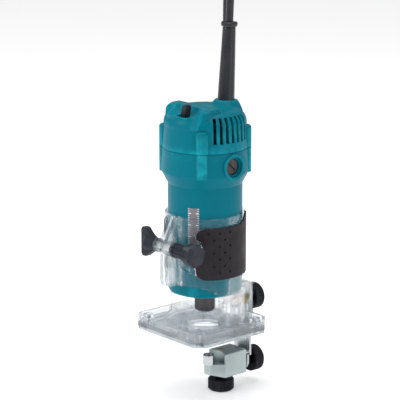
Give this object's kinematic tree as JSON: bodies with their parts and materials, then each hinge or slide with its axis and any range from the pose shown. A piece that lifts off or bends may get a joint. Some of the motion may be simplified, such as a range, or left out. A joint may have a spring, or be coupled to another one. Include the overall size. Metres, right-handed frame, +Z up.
{
  "type": "trim router",
  "caption": "Corded one-hand trim router: ribbed motor unit in a split clear base with a clamp, a square plate, and a trimmer guide with a roller below the sole.",
  "frame": {"origin": "on the spindle axis at the sole's lower face, in the middle of the base opening", "axes": "+Z up the spindle towards the motor, -Y towards the base clamp, +X to the right seen from the clamp side"},
  "size_m": [0.165, 0.1602, 0.4038],
  "materials": {
    "clear_plastic": "clear, polished",
    "clear_sole": "clear, fine scratches",
    "screw_steel": "zinc plated",
    "grip_rubber": "soft matt, pitted",
    "brass": "turned",
    "teal_plastic": "satin moulded",
    "scale_plate": "satin with printed ticks",
    "rating_plate": "blank label",
    "lamination_steel": "stacked sheet",
    "copper_wire": "varnished",
    "bearing_steel": "ground",
    "black_plastic": "fine grain",
    "grey_plastic": "fine grain",
    "cap_plastic": "phenolic",
    "carbon": "pressed carbon",
    "capacitor_plastic": "dipped",
    "cord_rubber": "smooth satin",
    "dark_steel": "blackened",
    "arm_steel": "zinc plated",
    "cast_aluminium": "bead blasted",
    "roller_chrome": "polished"
  },
  "bodies": {
    "base": {"base_shell": "clear_plastic", "base_protector": "clear_sole", "plate_screws": "screw_steel", "right_grip": "grip_rubber", "left_grip": "grip_rubber", "pad_insert": "brass"},
    "motor": {"motor_housing": "teal_plastic", "rear_cover": "teal_plastic", "cover_screws": "screw_steel", "depth_scale": "scale_plate", "rating_plate": "rating_plate", "field_core": "lamination_steel", "field_windings": "copper_wire", "bearing_low": "bearing_steel", "bearing_top": "bearing_steel", "bearing_bracket": "black_plastic", "brush_holder_right": "brass", "brush_holder_left": "brass", "carbon_brush_right": "carbon", "carbon_brush_left": "carbon", "brush_spring_right": "bearing_steel", "brush_spring_left": "bearing_steel", "brush_cap_right": "cap_plastic", "brush_cap_left": "cap_plastic", "switch_body": "black_plastic", "noise_capacitor": "capacitor_plastic", "air_baffles": "black_plastic", "cord_clamp": "black_plastic", "clamp_screws": "screw_steel", "cord_guard": "cord_rubber", "supply_lead": "cord_rubber", "mains_cord": "cord_rubber", "cord_hank": "cord_rubber", "cord_tie": "cord_rubber", "plug_body": "black_plastic", "plug_pins": "brass"},
    "spindle": {"spindle_shaft": "bearing_steel", "armature_core": "lamination_steel", "armature_windings": "copper_wire", "commutator": "brass", "cooling_fan": "black_plastic", "collet_cone": "bearing_steel"},
    "collet_nut": {"collet_nut": "dark_steel"},
    "switch_lever": {"switch_lever": "black_plastic"},
    "wing_bolt": {"wing_knob": "grey_plastic", "clamp_rod": "screw_steel"},
    "thumb_nut": {"thumb_nut": "grey_plastic"},
    "guide_holder": {"guide_arm": "arm_steel", "guide_pins": "screw_steel"},
    "clamp_screw_a": {"knob_a": "black_plastic", "stud_a": "screw_steel"},
    "guide_block": {"guide_block": "cast_aluminium", "set_screw": "brass", "roller_screw": "screw_steel"},
    "adjusting_screw": {"knob_adjust": "black_plastic", "stud_adjust": "screw_steel"},
    "clamp_screw_b": {"knob_b": "black_plastic", "stud_b": "screw_steel"},
    "guide_roller": {"guide_roller": "roller_chrome"}
  },
  "joints": [
    {"name": "motor_slide", "type": "slide", "parent": "base", "child": "motor", "axis": [0, 0, 1], "range_m": [-0.012, 0.025]},
    {"name": "spindle_turn", "type": "hinge", "parent": "motor", "child": "spindle", "pos_m": [0, 0, 0.1], "axis": [0, 0, 1], "continuous": true},
    {"name": "collet_nut_turn", "type": "hinge", "parent": "spindle", "child": "collet_nut", "pos_m": [0, 0, 0.025], "axis": [0, 0, 1], "range_deg": [-1080, 0]},
    {"name": "switch_swing", "type": "hinge", "parent": "motor", "child": "switch_lever", "pos_m": [0, -0.025, 0.18], "axis": [0, 1, 0], "range_deg": [-31.4, 0]},
    {"name": "wing_bolt_turn", "type": "hinge", "parent": "base", "child": "wing_bolt", "pos_m": [-0.02, -0.043, 0.08], "axis": [1, 0, 0], "range_deg": [-180, 180]},
    {"name": "thumb_nut_turn", "type": "hinge", "parent": "base", "child": "thumb_nut", "pos_m": [0.02, -0.043, 0.08], "axis": [1, 0, 0], "range_deg": [-1080, 180]},
    {"name": "guide_height_slide", "type": "slide", "parent": "base", "child": "guide_holder", "axis": [0, 0, 1], "range_m": [-0.005, 0.012]},
    {"name": "clamp_screw_a_turn", "type": "hinge", "parent": "base", "child": "clamp_screw_a", "pos_m": [0, 0.05, 0.0185], "axis": [0, -1, 0], "range_deg": [-720, 90]},
    {"name": "guide_depth_slide", "type": "slide", "parent": "guide_holder", "child": "guide_block", "axis": [0, 1, 0], "range_m": [-0.006, 0.003]},
    {"name": "adjusting_screw_turn", "type": "hinge", "parent": "guide_holder", "child": "adjusting_screw", "pos_m": [0, 0.05, -0.0392], "axis": [0, -1, 0], "range_deg": [-2160, 1080]},
    {"name": "clamp_screw_b_turn", "type": "hinge", "parent": "guide_block", "child": "clamp_screw_b", "pos_m": [0, 0.0186, -0.05], "axis": [0, 0, 1], "range_deg": [-720, 90]},
    {"name": "guide_roller_turn", "type": "hinge", "parent": "guide_block", "child": "guide_roller", "pos_m": [0, 0.0042, -0.03], "axis": [0, 0, 1], "continuous": true}
  ],
  "couplings": [
    {"joint": "adjusting_screw_turn", "follows": "guide_depth_slide", "rad_per_m": 6283.2}
  ]
}
